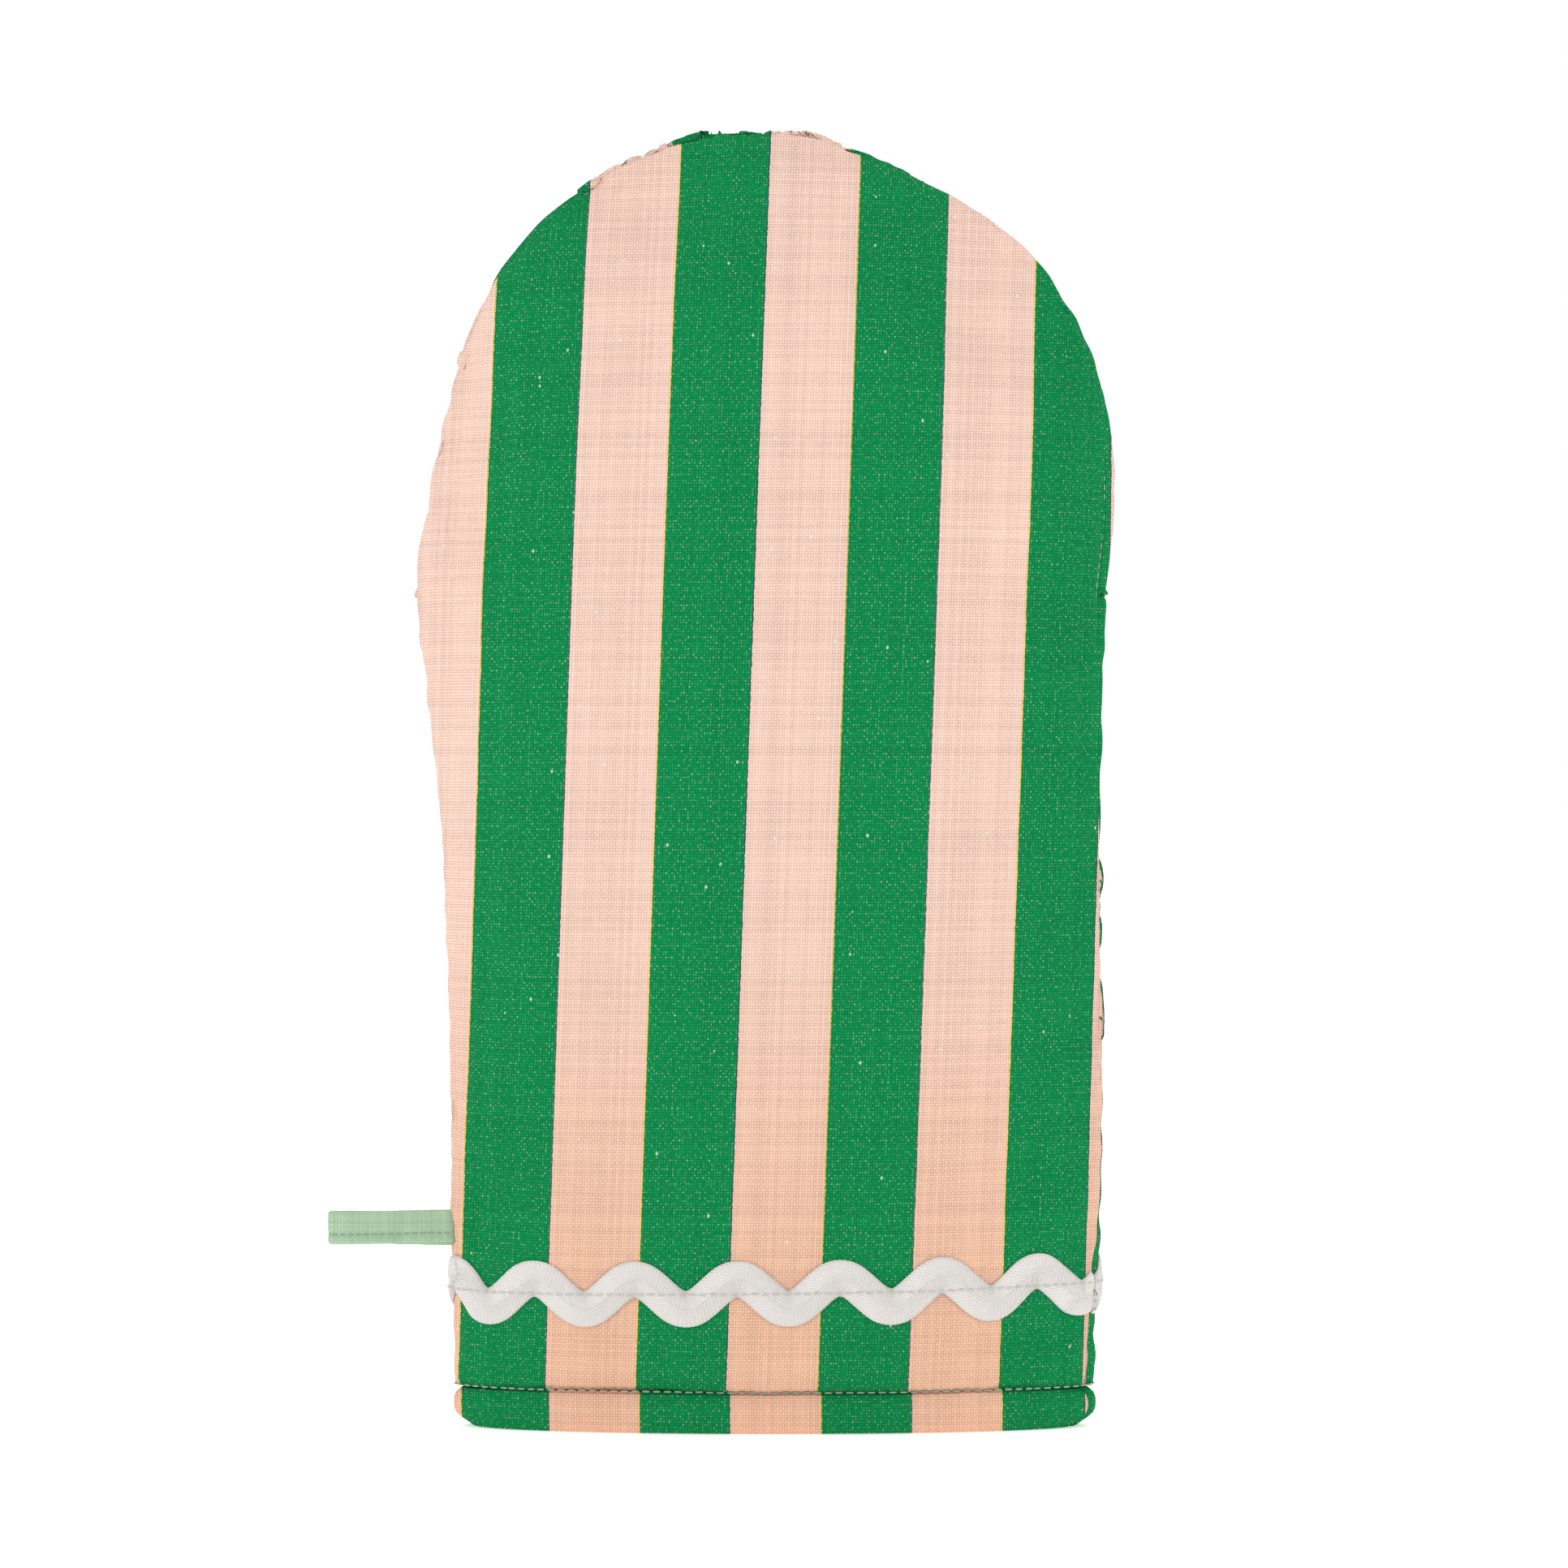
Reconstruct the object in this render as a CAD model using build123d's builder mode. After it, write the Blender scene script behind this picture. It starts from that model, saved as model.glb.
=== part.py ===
"""Padded oven mitt, sewn from three pockets of cloth: hand, fingers and an opposed thumb.

The mitt stands on its cuff hem. +Z runs from the cuff to the fingertips, +X across the
hand, -Y is the back of the hand and +Y is the palm, where the thumb leans out.
The origin is the centre of the cuff opening, on the plane that the hem stands on.
Every length is in millimetres.
"""

import os
from math import cos, pi, radians, sin

from build123d import *

# ---------------------------------------------------------------- cloth layers, from the outside in
COVER_THICKNESS = 1.0
WADDING_THICKNESS = 4.0
LINING_THICKNESS = 0.8
LAYER_GAP = 0.1
SEAM_GAP = 0.25          # half the gap left along every seam for its thread
CUT_GAP = 0.15           # half the gap where one cloth panel is divided at a joint

# Half sizes from which a layer is inset in full; thinner forms take proportionally less.
HAND_FULL_WIDTH = 40.0
HAND_FULL_DEPTH = 14.0
THUMB_FULL_WIDTH = 30.0
THUMB_FULL_DEPTH = 11.0

WADDING_START = COVER_THICKNESS + LAYER_GAP
WADDING_END = WADDING_START + WADDING_THICKNESS
LINING_START = WADDING_END + LAYER_GAP
WALL = LINING_START + LINING_THICKNESS
LAYERS = {
    "cover": (0.0, COVER_THICKNESS),
    "wadding": (WADDING_START, WADDING_END),
    "lining": (LINING_START, WALL),
}

# ---------------------------------------------------------------- heights on the hand
MITT_LENGTH = 330.0
CAVITY_START = -8.0      # the inner forms begin below the hem, so they cut right through it
HEM_HEIGHT = 10.8
PALM_TOP = 190.0         # the palm panel is divided here, below the thumb
FOLD_TOP = 216.0         # the mouth panel is divided here, above its fold
KNUCKLE_LOW = 234.0
KNUCKLE_HIGH = 254.0

# Height, left edge, right edge, depth of the back and depth of the palm.
HAND_STATIONS = [
    (0, -80.5, 80.5, 19.0, 19.0),
    (40, -83.2, 82.3, 20.5, 20.5),
    (80, -83.8, 83.1, 22.0, 22.0),
    (120, -84.8, 82.5, 23.2, 24.0),
    (160, -87.0, 82.6, 24.0, 26.5),
    (190, -90.4, 83.4, 24.4, 26.0),
    (212, -92.4, 84.3, 24.4, 20.0),
    (236, -89.2, 86.3, 23.6, 18.2),
    (252, -86.1, 85.6, 22.4, 17.8),
    (268, -82.0, 82.0, 20.8, 17.0),
    (284, -76.4, 75.2, 18.4, 15.4),
    (299, -67.3, 64.5, 15.0, 12.8),
    (310, -57.6, 50.8, 11.8, 10.2),
    (320, -43.3, 32.6, 7.8, 6.8),
    (326, -30.5, 19.0, 4.8, 4.2),
    (330, -11.0, -1.0, 1.2, 1.0),
]

# ---------------------------------------------------------------- thumb
THUMB_LEAN = 30.0        # degrees that the thumb stands off from the fingers
THUMB_ROOT_Y = 29.0
THUMB_ROOT_Z = 202.0
THUMB_START = 24.0       # along the thumb, where its stiff part begins
CROTCH_Y = 18.3          # bottom of the mouth between the fingers and the thumb
CROTCH_Z = 211.0
# Distance along the thumb, half width and half depth.
THUMB_STATIONS = [
    (-46, 56, 11.0),
    (-25, 66, 14.0),
    (-8, 70, 15.0),
    (6, 69, 15.2),
    (20, 62, 15.2),
    (34, 54, 15.0),
    (50, 47, 14.5),
    (62, 42, 13.0),
    (71, 33, 10.0),
    (77, 22, 6.5),
    (80, 8, 2.0),
]

# ---------------------------------------------------------------- trim
RICKRACK_MID = 36.2
RICKRACK_SWING = 3.7     # how far the braid's centre line swings up and down
RICKRACK_PITCH = 25.5
RICKRACK_WIDTH = 9.0
RICKRACK_THICKNESS = 1.0
RICKRACK_PHASE = {"back": 14.5, "palm": 5.0}
RICKRACK_QUARTERS = 15   # quarter waves on each side of the middle
THREAD = 0.5
THREAD_PROUD = 0.35

LOOP_LOW = 45.9
LOOP_HIGH = 55.2
LOOP_END_X = -114.8
LOOP_ROOT_X = -84.6
LOOP_TAPE = 1.2
LOOP_OPEN = 3.1          # half the gap between the two runs of tape, at its widest
LOOP_NECK = 7.0          # from the root to where the loop has opened to its neck
LOOP_NECK_SHARE = 0.65   # the neck's share of the full half width
LOOP_FULL = 19.0         # from the root to where the loop is widest
LOOP_FLARE = 0.15        # slope of each run where it leaves the root
LOOP_PLAY = LOOP_TAPE + SEAM_GAP + LAYER_GAP   # room for the root to turn beside the tail
LOOP_TAIL_X = -76.5
LOOP_STITCH_IN = 2.8
LOOP_SLOT_DEPTH = 20.0

os.makedirs("parts", exist_ok=True)


def save(name, builder):
    """Label a finished piece and write it."""
    builder.part.label = name
    export_step(builder.part, f"parts/{name}.step")


# ---------------------------------------------------------------- planes
def across(height):
    return Plane.XY.offset(height)


lean = radians(THUMB_LEAN)
thumb_root = Vector(0, THUMB_ROOT_Y, THUMB_ROOT_Z)
thumb_along = Vector(0, sin(lean), cos(lean))
thumb_outward = Vector(0, cos(lean), -sin(lean))
thumb_middle = Plane(origin=thumb_root, x_dir=(1, 0, 0), z_dir=thumb_outward)
# The plane halfway between the fingers and the thumb, through the bottom of the mouth.
mouth_plane = Plane(
    origin=(0, CROTCH_Y, CROTCH_Z),
    x_dir=(1, 0, 0),
    z_dir=(0, cos(lean / 2), -sin(lean / 2)),
)


def thumb_cross(distance):
    return Plane(
        origin=thumb_root + thumb_along * distance, x_dir=(1, 0, 0), z_dir=thumb_along
    )


# ---------------------------------------------------------------- solids that the layers come from
def inset_size(size, inset, full_at):
    """Half a width, taken in by the inset, and by less where the form is thin."""
    return size - inset * min(1.0, size / full_at)


def hand_rings(side, inset):
    """Cross-sections of the hand and fingers; side is back or palm."""
    rings = []
    stations = list(HAND_STATIONS)
    if inset > 0:
        first = stations[0]
        stations = [(CAVITY_START, *first[1:])] + stations
    for height, left, right, back, palm in stations:
        half = inset_size((right - left) / 2, inset, HAND_FULL_WIDTH)
        depth = inset_size(back if side == "back" else palm, inset, HAND_FULL_DEPTH)
        level = height * (MITT_LENGTH - inset) / MITT_LENGTH
        with BuildSketch(across(level)) as ring:
            with Locations(((left + right) / 2, 0)):
                Ellipse(half, depth)
        rings.append(ring.sketch)
    return rings


def thumb_rings(inset):
    """Cross-sections of the thumb, from inside the hand to its tip."""
    rings = []
    last = THUMB_STATIONS[-1][0]
    for distance, half_width, half_depth in THUMB_STATIONS:
        reach = distance - max(0.0, distance / last) * inset
        half = inset_size(half_width, inset, THUMB_FULL_WIDTH)
        depth = inset_size(half_depth, inset, THUMB_FULL_DEPTH)
        with BuildSketch(thumb_cross(reach)) as ring:
            Ellipse(half, depth)
        rings.append(ring.sketch)
    return rings


def keep_above(plane, gap=CUT_GAP):
    """Trim the piece in hand to what lies above a plane."""
    split(bisect_by=plane.offset(gap), keep=Keep.TOP)


def keep_below(plane, gap=CUT_GAP):
    """Trim the piece in hand to what lies below a plane."""
    split(bisect_by=plane.offset(-gap), keep=Keep.BOTTOM)


# Above this plane is the back of the hand, below it the palm.
side_seam = Plane.XZ

# ---------------------------------------------------------------- each layer as one shell, uncut
back_shells = {}
palm_shells = {}
for layer, (near, far) in LAYERS.items():
    with BuildPart() as back_shell:
        loft(sections=hand_rings("back", near))
        loft(sections=hand_rings("back", far), mode=Mode.SUBTRACT)
        keep_above(side_seam, SEAM_GAP)
        keep_above(across(HEM_HEIGHT))
    back_shells[layer] = back_shell.part

    with BuildPart() as palm_shell:
        loft(sections=hand_rings("palm", near))
        loft(sections=thumb_rings(near))
        loft(sections=hand_rings("palm", far), mode=Mode.SUBTRACT)
        loft(sections=thumb_rings(far), mode=Mode.SUBTRACT)
        keep_below(side_seam, SEAM_GAP)
        keep_above(across(HEM_HEIGHT))
    palm_shells[layer] = palm_shell.part

# The ends of the hanging loop are sewn into the left side seam.
with BuildPart() as tail_slot:
    with BuildSketch(across(LOOP_LOW - LAYER_GAP)):
        with Locations((LOOP_TAIL_X + LAYER_GAP, 0)):
            Rectangle(LOOP_SLOT_DEPTH, 2 * (LOOP_TAPE + LAYER_GAP), align=(Align.MAX, Align.CENTER))
    extrude(amount=LOOP_HIGH - LOOP_LOW + 2 * LAYER_GAP)

# ---------------------------------------------------------------- back panel, three stretches
for layer, shell in back_shells.items():
    with BuildPart() as back_hand:
        add(shell)
        keep_below(across(KNUCKLE_LOW))
        add(tail_slot.part, mode=Mode.SUBTRACT)
    save(f"back_{layer}_hand", back_hand)

    with BuildPart() as back_knuckle:
        add(shell)
        keep_above(across(KNUCKLE_LOW))
        keep_below(across(KNUCKLE_HIGH))
    save(f"back_{layer}_knuckle", back_knuckle)

    with BuildPart() as back_fingers:
        add(shell)
        keep_above(across(KNUCKLE_HIGH))
    save(f"back_{layer}_fingers", back_fingers)

# ---------------------------------------------------------------- palm panel, up to the thumb's tip
for layer, shell in palm_shells.items():
    with BuildPart() as palm_hand:
        add(shell)
        keep_below(across(PALM_TOP))
        add(tail_slot.part, mode=Mode.SUBTRACT)
    save(f"palm_{layer}_hand", palm_hand)

    with BuildPart() as palm_root:
        add(shell)
        keep_above(across(PALM_TOP))
        keep_above(thumb_middle)
        keep_below(thumb_cross(THUMB_START))
    save(f"palm_{layer}_thumb_root", palm_root)

    with BuildPart() as palm_thumb:
        add(shell)
        keep_above(thumb_cross(THUMB_START))
        keep_above(mouth_plane)
        keep_above(thumb_middle)
    save(f"palm_{layer}_thumb", palm_thumb)

# ---------------------------------------------------------------- mouth panel, folded in the crotch
for layer, shell in palm_shells.items():
    with BuildPart() as mouth_thumb:
        add(shell)
        keep_above(thumb_cross(THUMB_START))
        keep_above(mouth_plane)
        keep_below(thumb_middle)
    save(f"mouth_{layer}_thumb", mouth_thumb)

    with BuildPart() as mouth_root:
        add(shell)
        keep_above(across(FOLD_TOP))
        keep_above(mouth_plane)
        keep_below(thumb_middle)
        keep_below(thumb_cross(THUMB_START))
    save(f"mouth_{layer}_thumb_root", mouth_root)

    with BuildPart() as mouth_fold:
        add(shell)
        keep_above(across(PALM_TOP))
        keep_below(thumb_middle)
        keep_below(across(FOLD_TOP))
    save(f"mouth_{layer}_fold", mouth_fold)

    with BuildPart() as mouth_hand:
        add(shell)
        keep_above(across(FOLD_TOP))
        keep_below(mouth_plane)
        keep_below(across(KNUCKLE_LOW))
    save(f"mouth_{layer}_hand", mouth_hand)

    with BuildPart() as mouth_knuckle:
        add(shell)
        keep_below(mouth_plane)
        keep_above(across(KNUCKLE_LOW))
        keep_below(across(KNUCKLE_HIGH))
    save(f"mouth_{layer}_knuckle", mouth_knuckle)

    with BuildPart() as mouth_fingers:
        add(shell)
        keep_below(mouth_plane)
        keep_above(across(KNUCKLE_HIGH))
    save(f"mouth_{layer}_fingers", mouth_fingers)

# ---------------------------------------------------------------- trim on each side of the cuff


def keep_side(side):
    """Trim the piece in hand to the back or to the palm of the mitt."""
    if side == "back":
        keep_above(side_seam, SEAM_GAP)
    else:
        keep_below(side_seam, SEAM_GAP)


def band_around(side, low, high, raised_by):
    """Rings for a band on the outside of the cover, between two heights."""
    loft(sections=hand_rings(side, -raised_by - THREAD_PROUD))
    loft(sections=hand_rings(side, -raised_by), mode=Mode.SUBTRACT)
    keep_above(across(low), 0)
    keep_below(across(high), 0)
    keep_side(side)


def braid_edge(shift, phase):
    """Points along one edge of the rickrack, across the hand."""
    points = []
    step = RICKRACK_PITCH / 4
    for count in range(-RICKRACK_QUARTERS, RICKRACK_QUARTERS + 1):
        x = count * step
        swing = RICKRACK_SWING * cos(2 * pi * (x - phase) / RICKRACK_PITCH)
        points.append((x, RICKRACK_MID + swing + shift))
    return points


for side in ("back", "palm"):
    with BuildPart() as hem:
        loft(sections=hand_rings(side, 0))
        loft(sections=hand_rings(side, WALL), mode=Mode.SUBTRACT)
        keep_side(side)
        keep_below(across(HEM_HEIGHT))
    save(f"cuff_hem_{side}", hem)

    phase = RICKRACK_PHASE[side]
    with BuildPart() as rickrack:
        loft(sections=hand_rings(side, -LAYER_GAP - RICKRACK_THICKNESS))
        loft(sections=hand_rings(side, -LAYER_GAP), mode=Mode.SUBTRACT)
        keep_side(side)
        with BuildSketch(Plane.XZ):
            with BuildLine():
                top = Spline(*braid_edge(RICKRACK_WIDTH / 2, phase))
                bottom = Spline(*braid_edge(-RICKRACK_WIDTH / 2, phase))
                Line(top @ 0, bottom @ 0)
                Line(top @ 1, bottom @ 1)
            make_face()
        extrude(amount=MITT_LENGTH, both=True, mode=Mode.INTERSECT)
    save(f"rickrack_{side}", rickrack)

    with BuildPart() as rickrack_stitches:
        low = RICKRACK_MID - THREAD / 2
        band_around(side, low, low + THREAD, RICKRACK_THICKNESS + 2 * LAYER_GAP)
    save(f"rickrack_stitches_{side}", rickrack_stitches)

    with BuildPart() as hem_stitches:
        low = HEM_HEIGHT - THREAD / 2
        band_around(side, low, low + THREAD, LAYER_GAP)
    save(f"hem_stitches_{side}", hem_stitches)

# ---------------------------------------------------------------- thread in the side seam
with BuildPart() as seam_thread:
    loft(sections=hand_rings("back", LAYER_GAP))
    loft(sections=hand_rings("back", LAYER_GAP + THREAD), mode=Mode.SUBTRACT)
    keep_above(side_seam.offset(-SEAM_GAP), LAYER_GAP)
    keep_below(side_seam.offset(SEAM_GAP), LAYER_GAP)
    keep_above(across(HEM_HEIGHT))

with BuildPart() as seam_thread_hand:
    add(seam_thread.part)
    keep_below(across(KNUCKLE_LOW))
    add(tail_slot.part, mode=Mode.SUBTRACT)
save("seam_thread_hand", seam_thread_hand)

with BuildPart() as seam_thread_fingers:
    add(seam_thread.part)
    keep_above(across(KNUCKLE_HIGH))
save("seam_thread_fingers", seam_thread_fingers)

# ---------------------------------------------------------------- hanging loop


def loop_face(inset):
    """The folded tape seen from above, taken in by the inset; it narrows to the side seam."""
    wide = LOOP_OPEN + LOOP_TAPE - inset
    end = LOOP_END_X + inset
    with BuildSketch(across(LOOP_LOW)) as face:
        with BuildLine():
            front = Spline(
                (LOOP_ROOT_X, -(LOOP_TAPE + SEAM_GAP - inset)),
                (LOOP_ROOT_X - LOOP_NECK, -LOOP_NECK_SHARE * wide),
                (LOOP_ROOT_X - LOOP_FULL, -wide),
                (end, 0),
                tangents=((-1, -LOOP_FLARE), (0, 1)),
            )
            mirror(front, about=Plane.XZ)
            Line(front @ 0, ((front @ 0).X, -(front @ 0).Y))
        make_face()
    return face.sketch


loop_width = LOOP_HIGH - LOOP_LOW
with BuildPart() as hanging_loop:
    add(loop_face(0))
    extrude(amount=loop_width)
    add(loop_face(LOOP_TAPE))
    extrude(amount=loop_width, mode=Mode.SUBTRACT)
save("hanging_loop", hanging_loop)

with BuildPart() as loop_stitches:
    add(loop_face(-LAYER_GAP - THREAD_PROUD))
    extrude(amount=loop_width)
    add(loop_face(-LAYER_GAP))
    extrude(amount=loop_width, mode=Mode.SUBTRACT)
    keep_above(across(LOOP_LOW + LOOP_STITCH_IN), 0)
    keep_below(across(LOOP_LOW + LOOP_STITCH_IN + THREAD), 0)
    keep_below(Plane.YZ.offset(LOOP_ROOT_X), THREAD)
save("loop_stitches", loop_stitches)

tail_length = LOOP_TAIL_X - LOOP_ROOT_X - LOOP_PLAY
with BuildPart() as loop_tail:
    with BuildSketch(across(LOOP_LOW)):
        with Locations((LOOP_TAIL_X, 0)):
            Rectangle(tail_length, 2 * LOOP_TAPE, align=(Align.MAX, Align.CENTER))
    extrude(amount=loop_width)
save("loop_tail", loop_tail)
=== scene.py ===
"""A padded oven mitt, dressed over its CAD frame: canvas covers, wadding, lining, braid and tape."""

from math import cos, pi, radians, sin

import bpy
import bmesh
import numpy as np
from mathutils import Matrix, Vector, noise
from mathutils.bvhtree import BVHTree


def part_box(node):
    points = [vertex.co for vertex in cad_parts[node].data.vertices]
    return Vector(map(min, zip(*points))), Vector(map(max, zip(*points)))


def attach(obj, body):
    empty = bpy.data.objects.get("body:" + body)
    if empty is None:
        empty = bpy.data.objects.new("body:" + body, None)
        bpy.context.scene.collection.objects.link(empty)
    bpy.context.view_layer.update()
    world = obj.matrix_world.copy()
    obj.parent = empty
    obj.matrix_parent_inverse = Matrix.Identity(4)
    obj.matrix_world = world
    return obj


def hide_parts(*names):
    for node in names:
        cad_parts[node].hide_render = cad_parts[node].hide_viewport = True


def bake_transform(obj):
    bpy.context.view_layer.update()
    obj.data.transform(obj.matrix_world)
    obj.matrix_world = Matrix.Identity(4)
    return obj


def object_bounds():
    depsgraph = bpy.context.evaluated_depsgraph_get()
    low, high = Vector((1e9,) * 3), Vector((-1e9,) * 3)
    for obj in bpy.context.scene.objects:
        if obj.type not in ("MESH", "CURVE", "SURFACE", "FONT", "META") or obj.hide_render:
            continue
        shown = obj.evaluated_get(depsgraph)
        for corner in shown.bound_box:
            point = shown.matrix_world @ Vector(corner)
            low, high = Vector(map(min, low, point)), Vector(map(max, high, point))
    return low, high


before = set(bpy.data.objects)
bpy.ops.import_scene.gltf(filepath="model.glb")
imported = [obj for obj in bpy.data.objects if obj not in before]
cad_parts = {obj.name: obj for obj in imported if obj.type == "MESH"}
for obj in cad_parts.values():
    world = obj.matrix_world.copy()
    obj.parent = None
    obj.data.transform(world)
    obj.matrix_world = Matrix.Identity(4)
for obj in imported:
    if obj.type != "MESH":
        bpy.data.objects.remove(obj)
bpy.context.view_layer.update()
MM = 0.001

# ------------------------------------------------------------------ sizes, in millimetres
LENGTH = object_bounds()[1][2] / MM
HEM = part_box("cuff_hem_back")[1][2] / MM
CROTCH = 211.0
KNUCKLES = 236.0
CROTCH_DEPTH = 18.3
SEAM_TURN = 0.2            # how far round to the front the right side seam lies, in radians
SEAM_EVENS = (240.0, 285.0)    # heights between which that turn fades away
COVER = 1.0
WADDING_IN = 2.1
WADDING = 2.8
LINING_IN = 5.2
LINING = 0.7
# Half sizes from which a layer is inset in full; thinner forms take proportionally less.
HAND_FULL_WIDTH = 40.0
HAND_FULL_DEPTH = 14.0
THUMB_FULL_WIDTH = 30.0
THUMB_FULL_DEPTH = 11.0
EDGE_SHORT = 3.0           # the inner layers stop this far short of the seams
STRIPE_PERIOD = 45.8
GREEN_WIDTH = 22.5
GREEN_START = -76.0
STRIPE_LEAN = 0.0355
STRIPE_LEVEL = 161.0
EDGE_PRINT = 2.1           # cloth taken up by the roll of the right edge
EDGE_PRINT_FROM = 72.0
EDGE_PRINT_OVER = 11.0
HEM_JOG = 1.0              # the print steps sideways where the hem is folded
PALM_LEAN = 0.4            # the palm's print leans this share as much as the back's
THREAD_PITCH = 0.7

# Height, left edge, right edge, depth of the back, depth of the palm.
HAND = np.array([
    (0, -82.0, 80.9, 19.0, 19.0),
    (22, -82.6, 81.4, 19.8, 19.8),
    (40, -83.2, 82.3, 20.5, 20.5),
    (80, -83.8, 83.1, 22.0, 22.0),
    (120, -84.8, 82.5, 23.2, 24.5),
    (160, -87.0, 82.6, 24.0, 28.5),
    (190, -90.4, 83.4, 24.4, 33.5),
    (212, -92.4, 84.3, 24.4, 38.5),
    (236, -89.2, 86.3, 23.6, 38.5),
    (252, -86.1, 85.6, 22.4, 38.5),
    (268, -82.0, 82.0, 20.8, 38.5),
    (284, -76.4, 75.2, 18.4, 38.5),
    (299, -67.3, 64.5, 15.0, 38.5),
    (310, -57.6, 50.8, 11.8, 38.5),
    (320, -43.3, 32.6, 7.8, 38.5),
    (326, -30.5, 19.0, 4.8, 38.5),
    (331, -17.0, 6.0, 0.0, 38.5),
])
# Height and depth of the palm side of the fingers, above the mouth.
FINGER_PALM = np.array([
    (211, 18.3), (236, 18.2), (252, 17.8), (268, 17.0), (284, 15.4),
    (299, 12.8), (310, 10.2), (320, 6.8), (326, 4.2), (331, 0.0),
])
# Distance along the thumb, half width, half depth.
THUMB = np.array([
    (-8, 72, 14.5), (6, 69, 15.0), (20, 62, 15.2), (34, 54, 15.0), (50, 47, 14.5),
    (62, 42, 13.0), (71, 33, 10.0), (77, 22, 6.5), (80, 3, 0.0),
])
LEAN = radians(30)
THUMB_ROOT = np.array((0.0, 29.0, 202.0))
ALONG = np.array((0.0, sin(LEAN), cos(LEAN)))
OUTWARD = np.array((0.0, cos(LEAN), -sin(LEAN)))
THUMB_MIDDLE = -2.0
PALM_SINK = 20.0           # the thumb's root line dips this far at the middle of the palm
THUMB_BLEND = 44.0         # length over which the thumb grows out of the palm

COLUMNS = 60               # squares across a panel
ROWS_LOW = 64
ROWS_HIGH = 44
ROWS_THUMB = 36


def ease(value):
    """A smooth step from 0 to 1."""
    value = np.clip(value, 0.0, 1.0)
    return value * value * (3 - 2 * value)


def fading(value, start, end):
    """0 before the start, 1 past the end, and eased between them."""
    return ease((value - start) / (end - start))


def read_off(table, column, at):
    """A smooth curve through one column of a table, read at a place or places."""
    xs, ys = table[:, 0], table[:, column]
    slopes = np.gradient(ys, xs)
    at = np.clip(np.asarray(at, float), xs[0], xs[-1])
    left = np.clip(np.searchsorted(xs, at, side="right") - 1, 0, len(xs) - 2)
    width = xs[left + 1] - xs[left]
    t = (at - xs[left]) / width
    low, high = ys[left], ys[left + 1]
    return (
        low * (2 * t**3 - 3 * t**2 + 1) + high * (3 * t**2 - 2 * t**3)
        + width * (slopes[left] * (t**3 - 2 * t**2 + t) + slopes[left + 1] * (t**3 - t**2))
    )


def taken_in(size, inset, full_at):
    """A half size less an inset, and by less where the form is thin."""
    return size - inset * np.minimum(1.0, size / full_at)


# ------------------------------------------------------------------ the four panels as grids
def turns(side, height=0.0):
    """Angles across a panel from its left seam to its right seam; 0 is the right edge."""
    steps = np.linspace(0, 1, COLUMNS + 1)
    turn = SEAM_TURN * (1 - fading(height, *SEAM_EVENS))
    if side == "back":
        return pi + turn - pi * steps
    return pi + turn + pi * steps


def hand_row(height, side, inset):
    """One row across the hand. side is back, palm or fingers (their palm side)."""
    a = turns("back" if side == "back" else "palm", height)
    left, right = read_off(HAND, 1, height), read_off(HAND, 2, height)
    short = EDGE_SHORT * (inset > 0)
    half = taken_in((right - left) / 2, inset + short, HAND_FULL_WIDTH)
    back = taken_in(read_off(HAND, 3, height), inset, HAND_FULL_DEPTH)
    table, column = (FINGER_PALM, 1) if height > CROTCH or side == "fingers" else (HAND, 4)
    front = taken_in(read_off(table, column, height), inset, HAND_FULL_DEPTH)
    if side == "back":
        near = CROTCH_DEPTH + (read_off(HAND, 4, height) - CROTCH_DEPTH) * (height < CROTCH)
        front = taken_in(np.minimum(near, read_off(HAND, 3, height)), inset, HAND_FULL_DEPTH)
    shape = np.sin(a)
    depth = np.where(shape > 0, back, front)
    x = (left + right) / 2 + half * np.cos(a)
    y = -depth * shape
    top = fading(height, KNUCKLES, LENGTH)
    z = np.full_like(x, height * (LENGTH - inset) / LENGTH - 2 * short * top)
    if side == "palm":
        across = np.linspace(0, 1, COLUMNS + 1)
        sink = PALM_SINK * (height / CROTCH) ** 2
        z = z - sink * np.sin(pi * across) ** 2
    return np.stack((x, y, z), 1)


def seam_fixed(row, left, right):
    """Move a row so that its two ends meet given points, fading out across the row."""
    across = np.linspace(0, 1, len(row))[:, None]
    return row + (1 - across) * (left - row[0]) + across * (right - row[-1])


def thumb_row(distance, side, inset):
    """One row across the thumb; side is palm (outer face) or mouth (inner face)."""
    a = turns("back" if side == "mouth" else "palm")
    short = EDGE_SHORT * (inset > 0)
    half = taken_in(read_off(THUMB, 1, distance), inset + short, THUMB_FULL_WIDTH)
    depth = taken_in(read_off(THUMB, 2, distance), inset, THUMB_FULL_DEPTH)
    reach = distance - max(0.0, distance / THUMB[-1, 0]) * (inset + short)
    middle = THUMB_ROOT + ALONG * reach
    row = middle + OUTWARD * (-depth * np.sin(a))[:, None]
    row[:, 0] += half * np.cos(a) + THUMB_MIDDLE
    return row


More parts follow.
